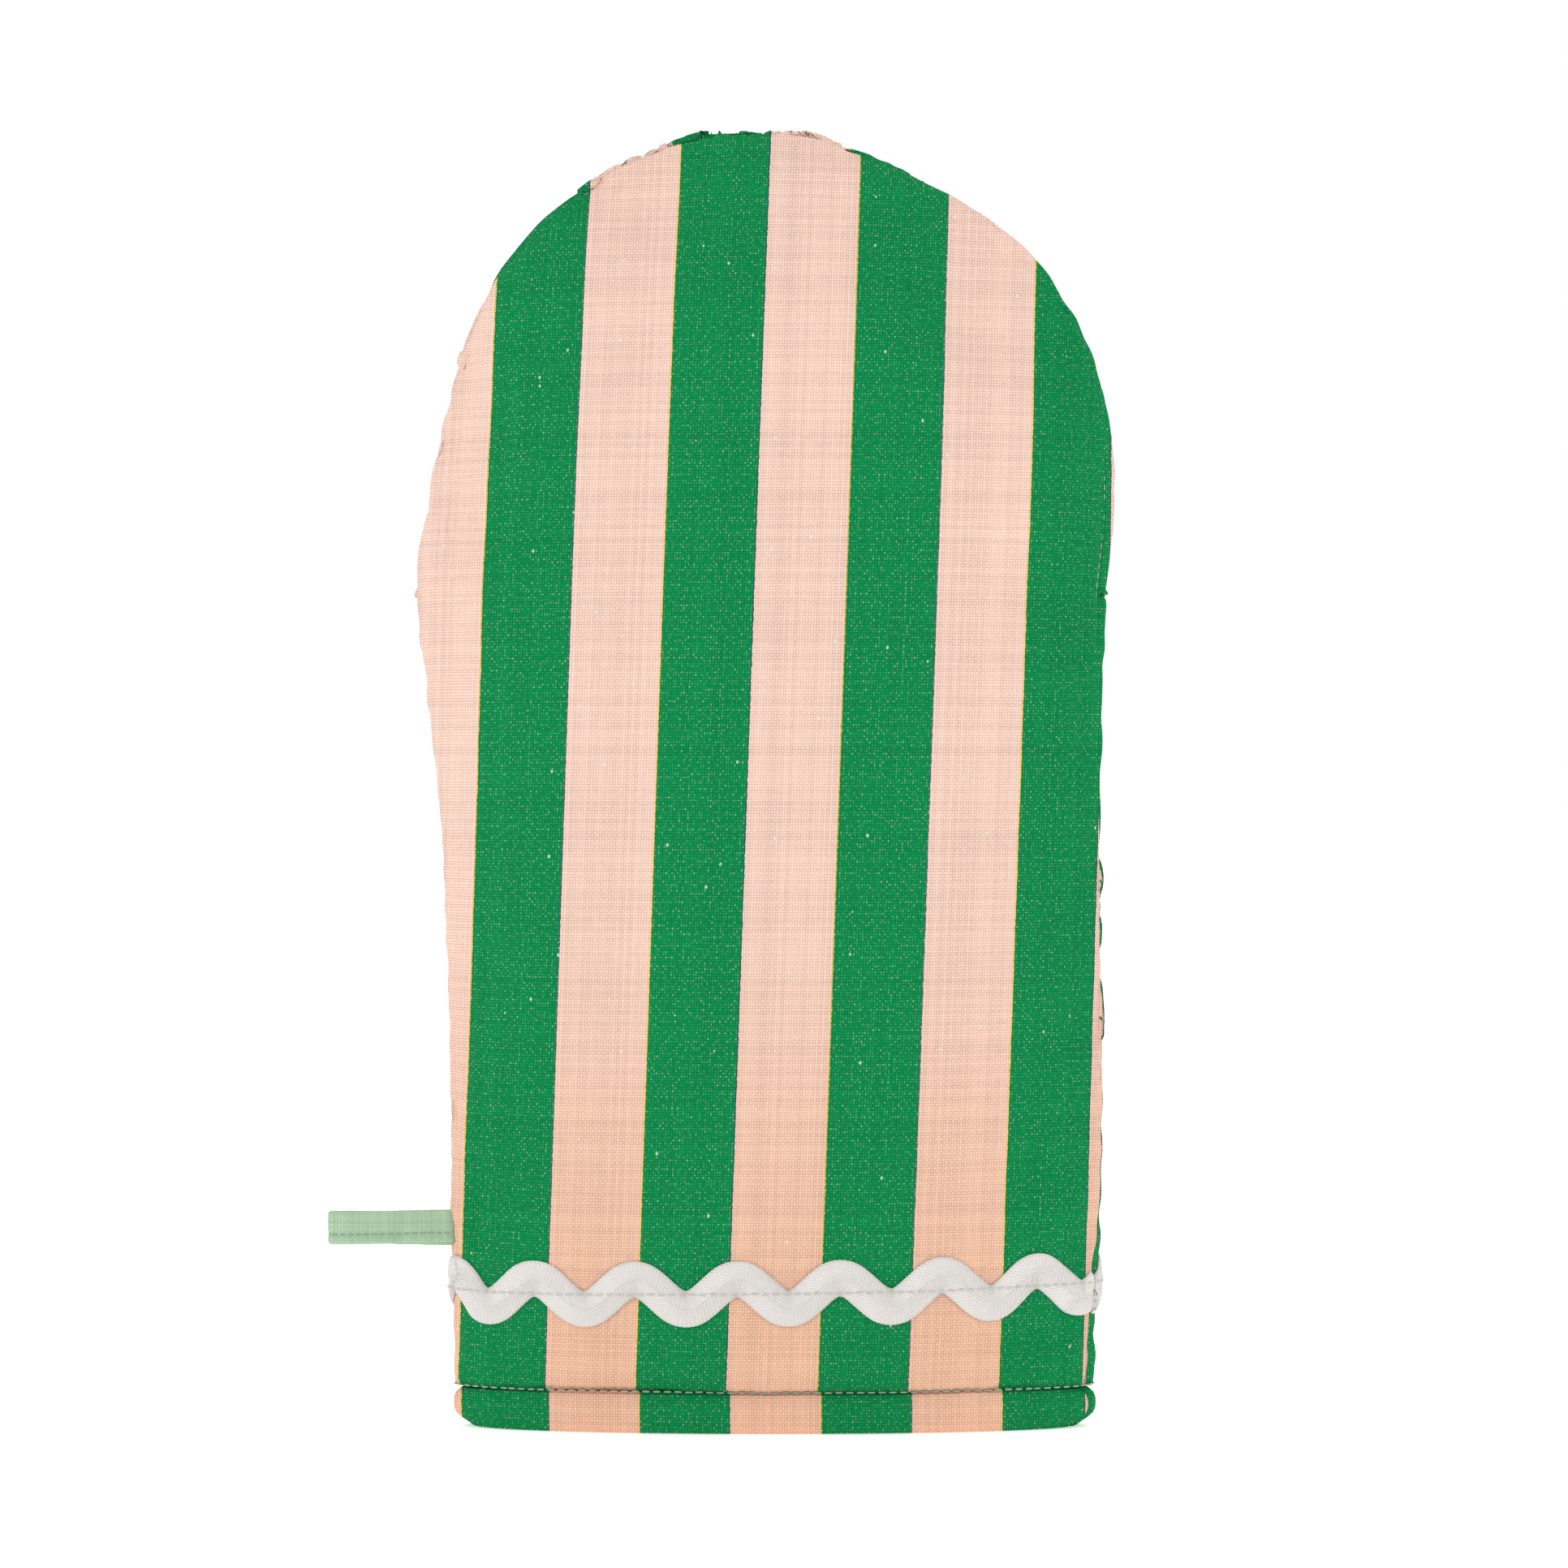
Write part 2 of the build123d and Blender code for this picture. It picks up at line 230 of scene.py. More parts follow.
def panel_grids(inset):
    """The rows of all four panels, with seams that share their points."""
    low = np.linspace(HEM, CROTCH, ROWS_LOW + 1)
    high = CROTCH + (LENGTH - CROTCH) * np.sin(np.linspace(0, pi / 2, ROWS_HIGH + 1))
    back = [hand_row(z, "back", inset) for z in [*low, *high[1:]]]
    palm = [hand_row(z, "palm", inset) for z in low]
    fingers = [hand_row(z, "fingers", inset) for z in high]
    for k, row in enumerate(palm):
        palm[k] = seam_fixed(row, back[k][0], back[k][-1])
    for k, row in enumerate(fingers):
        side = back[ROWS_LOW + k]
        fingers[k] = seam_fixed(row, side[0], side[-1])
    start, tip = THUMB[0, 0], THUMB[-1, 0]
    reaches = start + (tip - start) * np.sin(np.linspace(0, pi / 2, ROWS_THUMB + 1))
    first_outer, first_inner = thumb_row(start, "palm", inset), thumb_row(start, "mouth", inset)
    outer, inner = [], []
    fold = fingers[0]
    for reach in reaches:
        fade = 1 - ease((reach - start) / THUMB_BLEND)
        outer_row = thumb_row(reach, "palm", inset) + fade * (palm[-1] - first_outer)
        inner_row = thumb_row(reach, "mouth", inset) + fade * (fold - first_inner)
        outer.append(outer_row)
        inner.append(seam_fixed(inner_row, outer_row[0], outer_row[-1]))
    inner[0] = fold
    return {
        "back": np.array(back),
        "palm": np.array(palm + outer[1:]),
        "fingers": np.array(fingers),
        "thumb": np.array(inner),
    }


PANELS = ("back", "palm", "fingers", "thumb")


# ------------------------------------------------------------------ meshes
def plain_mesh(name, points, faces):
    """A mesh from points in millimetres."""
    mesh = bpy.data.meshes.new(name)
    mesh.from_pydata([tuple(p) for p in np.asarray(points) * MM], [], faces)
    mesh.validate()
    mesh.update()
    return mesh


def new_object(name, mesh):
    piece = bpy.data.objects.new(name, mesh)
    bpy.context.scene.collection.objects.link(piece)
    return piece


def finished(piece):
    """The piece with its modifiers turned into plain mesh."""
    graph = bpy.context.evaluated_depsgraph_get()
    mesh = bpy.data.meshes.new_from_object(piece.evaluated_get(graph))
    piece.modifiers.clear()
    piece.data = mesh
    return piece


def add_modifier(piece, kind, **values):
    """A modifier with its settings given by name."""
    modifier = piece.modifiers.new(kind.title(), kind)
    for key, value in values.items():
        setattr(modifier, key, value)
    return modifier


def smooth_shade(piece):
    piece.data.polygons.foreach_set("use_smooth", [True] * len(piece.data.polygons))


def join_panels(inset):
    """One mesh of all four panels, welded along their seams."""
    points, index = [], {}
    faces, owner, edge_near, pinned = [], [], [], set()

    def place(point):
        key = tuple(np.round(point, 3))
        if key not in index:
            index[key] = len(points)
            points.append(point)
            edge_near.append(1e3)
        return index[key]

    for number, panel in enumerate(PANELS):
        grid = panel_grids(inset)[panel]
        rows, columns = grid.shape[:2]
        ids = [[place(grid[r, c]) for c in range(columns)] for r in range(rows)]
        for r in range(rows):
            span = np.linalg.norm(np.diff(grid[r], axis=0), axis=1)
            run = np.concatenate(([0], np.cumsum(span)))
            for c in range(columns):
                gap = min(run[c], run[-1] - run[c])
                edge_near[ids[r][c]] = min(edge_near[ids[r][c]], gap)
                tip = r == rows - 1
                if c in (0, columns - 1) or tip or (r == 0 and panel in ("back", "palm")):
                    pinned.add(ids[r][c])
        for r in range(rows - 1):
            for c in range(columns - 1):
                corner = [ids[r][c], ids[r][c + 1], ids[r + 1][c + 1], ids[r + 1][c]]
                corner = list(dict.fromkeys(corner))
                if len(corner) < 3:
                    continue
                faces.append(corner[::-1] if panel in ("palm", "fingers") else corner)
                owner.append(number)
    return points, faces, owner, edge_near, sorted(pinned)


def puffed(inset):
    """How far each point moves as the joined panels swell like cloth held along its seams."""
    points, faces, _, _, pinned = join_panels(inset)
    mesh = plain_mesh("pattern", points, faces)
    piece = new_object("pattern", mesh)
    held = piece.vertex_groups.new(name="held")
    held.add(pinned, 1.0, "REPLACE")
    cloth = piece.modifiers.new("Cloth", "CLOTH")
    settings = cloth.settings
    settings.quality = 5
    settings.mass = 0.3
    settings.tension_stiffness = 20
    settings.compression_stiffness = 20
    settings.shear_stiffness = 8
    settings.bending_stiffness = 0.6
    settings.vertex_group_mass = "held"
    settings.use_pressure = True
    settings.uniform_pressure_force = PRESSURE
    settings.shrink_min = -CLOTH_EASE
    settings.effector_weights.gravity = 0
    cloth.collision_settings.use_collision = False
    scene = bpy.context.scene
    for step in range(1, CLOTH_STEPS + 1):
        scene.frame_set(step)
    graph = bpy.context.evaluated_depsgraph_get()
    done = piece.evaluated_get(graph).to_mesh()
    moved = np.empty(len(points) * 3)
    done.vertices.foreach_get("co", moved)
    moved = moved.reshape(-1, 3) / MM
    scene.frame_set(1)
    bpy.data.objects.remove(piece)
    step = moved - np.array(points)
    far = np.linalg.norm(step, axis=1, keepdims=True)
    return step * np.minimum(1.0, MOST_PUFF / np.maximum(far, 1e-9))


CLOTH_STEPS = 16
PRESSURE = 2.5
CLOTH_EASE = 0.02
MOST_PUFF = 4.0


def field(point, scale, seed=0.0):
    """Smooth noise from -1 to 1 at a point in millimetres."""
    return noise.noise(Vector((point[0] / scale + seed, point[1] / scale, point[2] / scale)))


def crease(points, normals, near_seam):
    """Small folds drawn in along the seams, the stitched hem line and slow waves in the cloth."""
    out = []
    right, high = points[:, 0], points[:, 2]
    open_side = fading(right, *OPEN_SEAM_RIGHT) * (1 - fading(high, *OPEN_SEAM_TOP))
    calm = 1 - TIP_CALM * fading(high, *TIP_CALM_OVER)
    for point, normal, gap, opened, ruffle in zip(points, normals, near_seam, open_side, calm):
        depth = SEAM_GROOVE * (CLOSED_SHARE + (1 - CLOSED_SHARE) * opened)
        pull = depth * np.exp(-((gap / GROOVE_REACH) ** 2))
        level = (point[0] * PUCKER_LENGTHEN, point[1] * PUCKER_LENGTHEN, point[2])
        pucker = PUCKER * ruffle * field(level, PUCKER_SIZE, 3.0) * np.exp(-gap / PUCKER_REACH)
        slow = SLOW_WAVE * field(point, SLOW_SIZE, 9.0) * (1 - np.exp(-gap / SLOW_REACH))
        over_hem = point[2] - HEM
        line = np.exp(-(((over_hem - HEM_LINE_UP) / HEM_LINE_REACH) ** 2))
        above = np.exp(-((over_hem / TUCK_REACH) ** 2)) if over_hem > 0 else 1.0
        tuck = HEM_TUCK * field((point[0], 0, 0), TUCK_SIZE, 1.0) * above
        shift = -pull + pucker + slow - HEM_GROOVE * line + tuck
        out.append(point + normal * shift)
    return np.array(out)


def outline_gaps(points):
    """How far the dressed mitt falls short of its outline, left and right, level by level."""
    levels = np.arange(OUTLINE_LEVELS[0], OUTLINE_LEVELS[1], OUTLINE_STEP)
    short = []
    for level in levels:
        band = points[np.abs(points[:, 2] - level) < OUTLINE_STEP / 2, 0]
        foot = level - OUTLINE_STEP / 2
        short.append((read_off(HAND, 1, foot) - band.min(), read_off(HAND, 2, foot) - band.max()))
    short = np.array(short)
    smooth = np.array([short[max(k - 2, 0):k + 3].mean(axis=0) for k in range(len(short))])
    return levels, smooth, LENGTH - points[:, 2].max()


def fitted(points, gaps):
    """The points drawn out level by level to the outline."""
    levels, short, tip = gaps
    out = points.copy()
    height = points[:, 2]
    left, right = read_off(HAND, 1, height), read_off(HAND, 2, height)
    share = np.clip((points[:, 0] - left) / np.maximum(right - left, 1.0), 0, 1)
    out[:, 0] += (1 - share) * np.interp(height, levels, short[:, 0])
    out[:, 0] += share * np.interp(height, levels, short[:, 1])
    out[:, 2] += tip * fading(height, *TIP_DRAWN)
    return out


OUTLINE_LEVELS = (14.0, 323.0)
OUTLINE_STEP = 3.0
TIP_DRAWN = (293.0, 327.0)     # heights over which the tip is drawn up to its length
SEAM_GROOVE = 0.9              # depth of the groove where a seam lies open
CLOSED_SHARE = 0.2             # share of that depth where a seam is a closed edge
OPEN_SEAM_RIGHT = (55.0, 75.0)     # the right seam lies open from here outwards
OPEN_SEAM_TOP = (212.0, 238.0)     # and closes over these heights
GROOVE_REACH = 1.6
SEAM_SUNK = 1.7                # the seam's stitches lie this far inside it
PUCKER = 0.55
PUCKER_SIZE = 5.5
PUCKER_REACH = 7.0
PUCKER_LENGTHEN = 0.2          # puckers run across a seam, so they vary little that way
TIP_CALM = 0.75                # puckers are this much weaker round the fingertips
TIP_CALM_OVER = (285.0, 310.0)
SLOW_WAVE = 0.7
SLOW_SIZE = 34.0
SLOW_REACH = 10.0
HEM_GROOVE = 0.45
HEM_LINE_UP = 0.4
HEM_LINE_REACH = 1.3
HEM_TUCK = 0.30
TUCK_SIZE = 5.0
TUCK_REACH = 9.0


def read_points(mesh):
    """All the points of a mesh, in millimetres."""
    values = np.empty(len(mesh.vertices) * 3)
    mesh.vertices.foreach_get("co", values)
    return values.reshape(-1, 3) / MM


def read_normals(mesh):
    """The direction straight out of the mesh at each point."""
    values = np.empty(len(mesh.vertices) * 3)
    mesh.vertex_normals.foreach_get("vector", values)
    return values.reshape(-1, 3)


def print_cloth(mesh, on_back):
    """Store where each point lies on the printed cloth: across and up, in millimetres."""
    points = read_points(mesh)
    across, up = points[:, 0].copy(), points[:, 2].copy()
    lean = STRIPE_LEAN * (np.maximum(up, HEM) - STRIPE_LEVEL)
    if on_back:
        across += EDGE_PRINT * ease((across - EDGE_PRINT_FROM) / EDGE_PRINT_OVER)
        across -= lean + HEM_JOG * (up < HEM)
    else:
        across -= PALM_LEAN * lean
    name = "printed"
    if name in mesh.attributes:
        mesh.attributes.remove(mesh.attributes[name])
    layer = mesh.attributes.new(name, "FLOAT_VECTOR", "POINT")
    values = np.stack((across, up, points[:, 1]), 1).astype(np.float32)
    layer.data.foreach_set("vector", values.ravel())


def only_faces(source, wanted, name):
    """A copy of the mesh with only the faces of one panel."""
    mesh = source.copy()
    mesh.name = name
    bm = bmesh.new()
    bm.from_mesh(mesh)
    layer = bm.faces.layers.int["panel"]
    spare = [f for f in bm.faces if f[layer] != wanted]
    bmesh.ops.delete(bm, geom=spare, context="FACES")
    bm.to_mesh(mesh)
    bm.free()
    return mesh


def panel_layer(label, inset, thickness, swell, gaps, finish, steps=1):
    """One layer of the mitt as four separate panels, each with its real thickness."""
    points, faces, owner, near, _ = join_panels(inset)
    points = np.array(points) + swell
    whole = new_object(label, plain_mesh(label, points, faces))
    whole.data.attributes.new("panel", "INT", "FACE").data.foreach_set("value", owner)
    gap = whole.data.attributes.new("gap", "FLOAT", "POINT")
    gap.data.foreach_set("value", near)
    if steps:
        add_modifier(whole, "SUBSURF", levels=steps, render_levels=steps)
        finished(whole)
    mesh = whole.data
    near_seam = np.empty(len(mesh.vertices))
    mesh.attributes["gap"].data.foreach_get("value", near_seam)
    near_seam += EDGE_SHORT * (inset > 0)
    shaped = crease(read_points(mesh), read_normals(mesh), near_seam)
    gaps = gaps or outline_gaps(shaped)
    shaped = fitted(shaped, gaps)
    mesh.vertices.foreach_set("co", (shaped * MM).ravel())
    mesh.update()
    pieces = {}
    for number, panel in enumerate(PANELS):
        piece = new_object(f"{panel}_{label}", only_faces(mesh, number, f"{panel}_{label}"))
        add_modifier(piece, "SOLIDIFY", thickness=thickness * MM, offset=-1.0)
        finished(piece)
        print_cloth(piece.data, panel == "back")
        smooth_shade(piece)
        piece.data.materials.clear()
        piece.data.materials.append(finish)
        if panel in ("back", "fingers"):
            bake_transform(piece)
        else:
            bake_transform(piece)
        pieces[panel] = piece
    bpy.data.objects.remove(whole)
    return pieces, gaps


# ------------------------------------------------------------------ materials
def linear(red, green, blue):
    """A colour given as 0 to 255, as the shader wants it."""
    out = []
    for value in (red, green, blue):
        value /= 255
        out.append(value / 12.92 if value <= 0.04045 else ((value + 0.055) / 1.055) ** 2.4)
    return (*out, 1.0)


class Finish:
    """A material being put together from nodes."""

    def __init__(self, name, roughness=0.9, sheen=0.1):
        self.material = bpy.data.materials.new(name)
        self.material.use_nodes = True
        self.nodes = self.material.node_tree.nodes
        self.links = self.material.node_tree.links
        self.shader = self.nodes["Principled BSDF"]
        self.shader.inputs["Roughness"].default_value = roughness
        self.shader.inputs["Sheen Weight"].default_value = sheen
        self.shader.inputs["Specular IOR Level"].default_value = 0.25

    def node(self, kind, **values):
        node = self.nodes.new(kind)
        for key, value in values.items():
            setattr(node, key, value)
        return node

    def feed(self, socket, value):
        if isinstance(value, bpy.types.NodeSocket):
            self.links.new(value, socket)
        else:
            socket.default_value = value

    def maths(self, operation, first, second=0.0, third=None):
        node = self.node("ShaderNodeMath", operation=operation)
        self.feed(node.inputs[0], first)
        self.feed(node.inputs[1], second)
        if third is not None:
            self.feed(node.inputs[2], third)
        return node.outputs[0]

    def mix(self, factor, first, second, blend="MIX"):
        node = self.node("ShaderNodeMix", data_type="RGBA", blend_type=blend)
        self.feed(node.inputs[0], factor)
        self.feed(node.inputs[6], first)
        self.feed(node.inputs[7], second)
        return node.outputs[2]

    def between(self, value, low, high, to_low=0.0, to_high=1.0):
        node = self.node("ShaderNodeMapRange", interpolation_type="SMOOTHSTEP")
        self.feed(node.inputs["Value"], value)
        node.inputs["From Min"].default_value = low
        node.inputs["From Max"].default_value = high
        node.inputs["To Min"].default_value = to_low
        node.inputs["To Max"].default_value = to_high
        return node.outputs["Result"]

    def noise(self, vector, scale, detail=2.0):
        node = self.node("ShaderNodeTexNoise")
        self.feed(node.inputs["Vector"], vector)
        node.inputs["Scale"].default_value = scale
        node.inputs["Detail"].default_value = detail
        return node.outputs["Fac"]

    def stretched(self, vector, x, y, z=1.0):
        node = self.node("ShaderNodeVectorMath", operation="MULTIPLY")
        self.feed(node.inputs[0], vector)
        node.inputs[1].default_value = (x, y, z)
        return node.outputs[0]

    def random(self, value):
        node = self.node("ShaderNodeTexWhiteNoise", noise_dimensions="1D")
        self.feed(node.inputs["W"], value)
        return node.outputs["Value"]

    def bump(self, height, depth):
        node = self.node("ShaderNodeBump")
        node.inputs["Strength"].default_value = 1.0
        node.inputs["Distance"].default_value = depth
        self.feed(node.inputs["Height"], height)
        self.links.new(node.outputs["Normal"], self.shader.inputs["Normal"])

    def colour(self, value):
        self.feed(self.shader.inputs["Base Color"], value)

    def printed(self):
        node = self.node("ShaderNodeAttribute", attribute_name="printed")
        return node.outputs["Vector"]

    def place(self):
        """Object coordinates in millimetres."""
        node = self.node("ShaderNodeTexCoord")
        return self.stretched(node.outputs["Object"], 1 / MM, 1 / MM, 1 / MM)

    def apart(self, vector):
        node = self.node("ShaderNodeSeparateXYZ")
        self.feed(node.inputs[0], vector)
        return node.outputs[0], node.outputs[1], node.outputs[2]


def weave(finish, across, up, pitch):
    """Height of a plain weave, and how light each crossing is."""
    warp = finish.maths("DIVIDE", across, pitch)
    weft = finish.maths("DIVIDE", up, pitch * 1.04)
    warp_number = finish.maths("FLOOR", warp)
    weft_number = finish.maths("FLOOR", weft)
    total = finish.maths("ADD", warp_number, weft_number)
    over = finish.maths("MULTIPLY", finish.maths("FRACT", finish.maths("MULTIPLY", total, 0.5)), 2)
    ridge_x = finish.maths("ABSOLUTE", finish.maths("SINE", finish.maths("MULTIPLY", warp, pi)))
    ridge_y = finish.maths("ABSOLUTE", finish.maths("SINE", finish.maths("MULTIPLY", weft, pi)))
    dot = finish.maths("MULTIPLY", ridge_x, ridge_y)
    lift = finish.maths("MULTIPLY", dot, finish.maths("MULTIPLY_ADD", over, 0.5, 0.5))
    threads = finish.maths(
        "ADD", finish.random(warp_number), finish.random(finish.maths("ADD", weft_number, 0.37))
    )
    return lift, threads


def striped_canvas():
    """Canvas printed in green and pink stripes, its bare yarn showing where the ink missed."""
    finish = Finish("striped_canvas", roughness=0.95, sheen=0.0)
    finish.shader.inputs["Specular IOR Level"].default_value = CANVAS_SHINE
    cloth = finish.printed()
    across, up, _ = finish.apart(cloth)
    rough_edge = finish.noise(finish.stretched(cloth, 0.9, 0.9, 0), 1.0)
    wobble = finish.maths("MULTIPLY_ADD", rough_edge, 0.5, -0.25)
    along = finish.maths("ADD", across, wobble)
    turn = finish.maths("FRACT", finish.maths(
        "DIVIDE", finish.maths("SUBTRACT", along, GREEN_START), STRIPE_PERIOD))
    is_ink = finish.maths("GREATER_THAN", turn, GREEN_WIDTH / STRIPE_PERIOD)
    is_green = finish.maths("LESS_THAN", turn, (GREEN_WIDTH + INK_WIDTH) / STRIPE_PERIOD)
    is_gold = finish.maths("GREATER_THAN", turn, 1 - GOLD_WIDTH / STRIPE_PERIOD)
    pink = finish.mix(finish.between(up, *WARM_FROM_TO), PINK, PINK_LOW)
    printed = finish.mix(is_green, pink, finish.mix(is_ink, GREEN, INK_LINE))
    printed = finish.mix(is_gold, printed, GOLD_LINE)
    lift, threads = weave(finish, across, up, THREAD_PITCH)
    slub = finish.noise(finish.stretched(cloth, 0.35, 2.2, 0), 1.0, 3.0)
    slub_up = finish.noise(finish.stretched(cloth, 2.2, 0.3, 0), 1.0, 3.0)
    patch = finish.noise(finish.stretched(cloth, 0.05, 0.05, 0.05), 1.0, 3.0)
    # Painted shade: the canvas is darker in the dips of the weave and between the slubs and lighter
    # on their raised crossings, following the same heights as the bump. The threads and patch terms
    # are random tone of the yarn.
    shade_and_tone = finish.maths("MULTIPLY_ADD", lift, 0.5, 0.72)
    shade_and_tone = finish.maths("MULTIPLY_ADD", threads, 0.10, shade_and_tone)
    shade_and_tone = finish.maths("MULTIPLY_ADD", slub, 0.16, finish.maths("SUBTRACT", shade_and_tone, 0.08))
    shade_and_tone = finish.maths("MULTIPLY_ADD", slub_up, 0.14, finish.maths("SUBTRACT", shade_and_tone, 0.07))
    shade_and_tone = finish.maths("MULTIPLY_ADD", patch, 0.12, finish.maths("SUBTRACT", shade_and_tone, 0.06))
    toned = finish.node("ShaderNodeVectorMath", operation="SCALE")
    finish.feed(toned.inputs[0], printed)
    finish.feed(toned.inputs["Scale"], shade_and_tone)
    missed = finish.noise(finish.stretched(cloth, 1.3, 1.0, 0), 1.0, 3.0)
    bare = finish.between(missed, 0.49, 0.66, 0.0, 0.27)
    bare = finish.maths("MULTIPLY", bare, finish.between(lift, 0.15, 0.7))
    shown = finish.mix(bare, toned.outputs[0], BARE_YARN)
    cell = finish.node("ShaderNodeTexVoronoi", voronoi_dimensions="3D")
    cell.inputs["Scale"].default_value = 1.0
    finish.feed(cell.inputs["Vector"], finish.stretched(cloth, 0.3, 0.22, 0.25))
    rare = finish.maths("GREATER_THAN", finish.apart(cell.outputs["Color"])[0], 0.9)
    close = finish.maths("LESS_THAN", cell.outputs["Distance"], 0.1)
    fleck = finish.maths("MULTIPLY", finish.maths("MULTIPLY", rare, close), 0.6)
    finish.colour(finish.mix(fleck, shown, BARE_YARN))
    height = finish.maths("MULTIPLY_ADD", slub, 0.5, lift)
    finish.bump(height, 0.00022)
    return finish.material


GREEN = linear(6, 129, 70)
PINK = linear(231, 196, 181)
PINK_LOW = linear(228, 181, 154)
INK_LINE = linear(62, 78, 92)
GOLD_LINE = linear(226, 190, 88)
INK_WIDTH = 0.3            # dark line along the right of each green stripe
GOLD_WIDTH = 0.32          # yellow line along its left
WARM_FROM_TO = (150, 20)   # heights between which the pink warms towards the cuff
CANVAS_SHINE = 0.06
BARE_YARN = linear(226, 228, 218)
LINING_PITCH = 0.55
TAPE_PITCH = 0.6


def plain_weave(name, colour, pitch, roughness=0.9, depth=0.00015, weave_shade=0.3):
    """Undyed or one-colour woven cloth."""
    finish = Finish(name, roughness=roughness)
    place = finish.place()
    x, y, z = finish.apart(place)
    lift, threads = weave(finish, finish.maths("ADD", x, y), z, pitch)
    patch = finish.noise(finish.stretched(place, 0.15, 0.15, 0.15), 1.0, 3.0)
    # Painted shade: the cloth is darker in the dips of the weave and lighter on its crossings,
    # following the bump's heights. The threads and patch terms are random tone of the yarn.
    shade_and_tone = finish.maths("MULTIPLY_ADD", lift, weave_shade, 1.0 - weave_shade * 0.6)
    shade_and_tone = finish.maths("MULTIPLY_ADD", threads, 0.12, finish.maths("SUBTRACT", shade_and_tone, 0.12))
    shade_and_tone = finish.maths("MULTIPLY_ADD", patch, 0.15, finish.maths("SUBTRACT", shade_and_tone, 0.07))
    toned = finish.node("ShaderNodeVectorMath", operation="SCALE")
    toned.inputs[0].default_value = colour[:3]
    finish.feed(toned.inputs["Scale"], shade_and_tone)
    finish.colour(toned.outputs[0])
    finish.bump(lift, depth)
    return finish.material


def braid_finish():
    """White rickrack: slanting ribs that meet along its middle, on the braid's own map."""
    finish = Finish("white_braid", roughness=0.8, sheen=0.2)
    along, over, _ = finish.apart(finish.printed())
    slant = finish.maths("ABSOLUTE", over)
    rib = finish.maths("SINE", finish.maths(
        "MULTIPLY", finish.maths("ADD", along, finish.maths("MULTIPLY", slant, 0.9)), 2 * pi / 0.75))
    cross = finish.maths("SINE", finish.maths("MULTIPLY", over, 2 * pi / 0.9))
    height = finish.maths("MULTIPLY_ADD", cross, 0.4, rib)
    # Painted shade: the braid is darker in the grooves between its ribs and lighter on them,
    # following the bump's heights. The grey noise is random tone.
    shade_and_tone = finish.maths("MULTIPLY_ADD", height, 0.045, 0.94)
    grey = finish.noise(finish.printed(), 0.35, 3.0)
    shade_and_tone = finish.maths("MULTIPLY_ADD", grey, 0.10, finish.maths("SUBTRACT", shade_and_tone, 0.05))
    toned = finish.node("ShaderNodeVectorMath", operation="SCALE")
    toned.inputs[0].default_value = linear(232, 227, 223)[:3]
    finish.feed(toned.inputs["Scale"], shade_and_tone)
    finish.colour(toned.outputs[0])
    finish.bump(height, 0.00012)
    return finish.material


def thread_finish(name, colour):
    """Twisted sewing thread."""
    finish = Finish(name, roughness=0.7, sheen=0.2)
    place = finish.place()
    ply = finish.noise(finish.stretched(place, 2.5, 2.5, 6.0), 1.0)
    # Painted shade: the thread darkens to 0.7 of its colour where the ply's bump is low.
    finish.colour(finish.mix(ply, tuple(0.7 * c for c in colour[:3]) + (1.0,), colour))
    finish.bump(ply, 0.0001)
    return finish.material


def wadding_finish():
    """Loose cotton wadding."""
    finish = Finish("wadding", roughness=1.0, sheen=0.3)
    place = finish.place()
    tuft = finish.noise(finish.stretched(place, 0.5, 0.5, 0.5), 1.0, 8.0)
    # Painted shade: the wadding is darker in the hollows of its tufts' bump and whiter on their
    # tops.
    finish.colour(finish.mix(tuft, linear(214, 210, 200), linear(246, 244, 238)))
    finish.bump(tuft, 0.0012)
    return finish.material


# ------------------------------------------------------------------ trim
def around(height, side, inset, count):
    """Evenly spaced points round one side of the cuff, with how far each is from the middle."""
    row = hand_row(height, side, inset)
    run = np.concatenate(([0], np.cumsum(np.linalg.norm(np.diff(row, axis=0), axis=1))))
    at = np.linspace(0, run[-1], count)
    points = np.stack([np.interp(at, run, row[:, k]) for k in range(3)], 1)
    middle = np.interp(0, points[:, 0], at)
    return points, at - middle


HEM_FOOT = 2.5
HEM_WAVE = 0.22
# How far inside the cover, and how high, going round the roll.
HEM_PROFILE = [
    (0.05, 10.9), (-0.45, 8.8), (-0.65, 6.0), (-0.5, 3.2), (0.1, 1.2), (1.0, 0.2), (2.0, 0.0),
    (4.4, 0.0), (5.4, 0.4), (6.0, 1.8), (6.2, 5.0), (6.1, 10.9),
]


def cuff_hem(side, finish):
    """The turned edge of the cuff: a padded roll from the stitched line to the foot."""
    rows, count = [], 121
    for inset, height in HEM_PROFILE:
        points, _ = around(height, side, inset, count)
        points[:, 2] = height
        rows.append(points)
    grid = np.array(rows)
    faces = []
    depth = len(HEM_PROFILE)
    for r in range(depth):
        for c in range(count - 1):
            s = (r + 1) % depth
            faces.append((r * count + c, s * count + c, s * count + c + 1, r * count + c + 1))
    faces.append(tuple(r * count for r in range(depth)))
    faces.append(tuple(r * count + count - 1 for r in reversed(range(depth))))
    flat = grid.reshape(-1, 3)
    outward = -1 if side == "back" else 1
    for k, point in enumerate(flat):
        if point[2] > HEM_FOOT:
            flat[k, 1] += outward * HEM_WAVE * field((point[0], 0, 0), TUCK_SIZE, 1.0)
    piece = new_object(f"hem_{side}", plain_mesh(f"hem_{side}", flat, faces))
    face_outwards(piece)
    add_modifier(piece, "SUBSURF", levels=1, render_levels=1)
    finished(piece)
    print_cloth(piece.data, side == "back")
    smooth_shade(piece)
    piece.data.materials.append(finish)
    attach(piece, "hand")
    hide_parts(f"cuff_hem_{side}")
    return piece


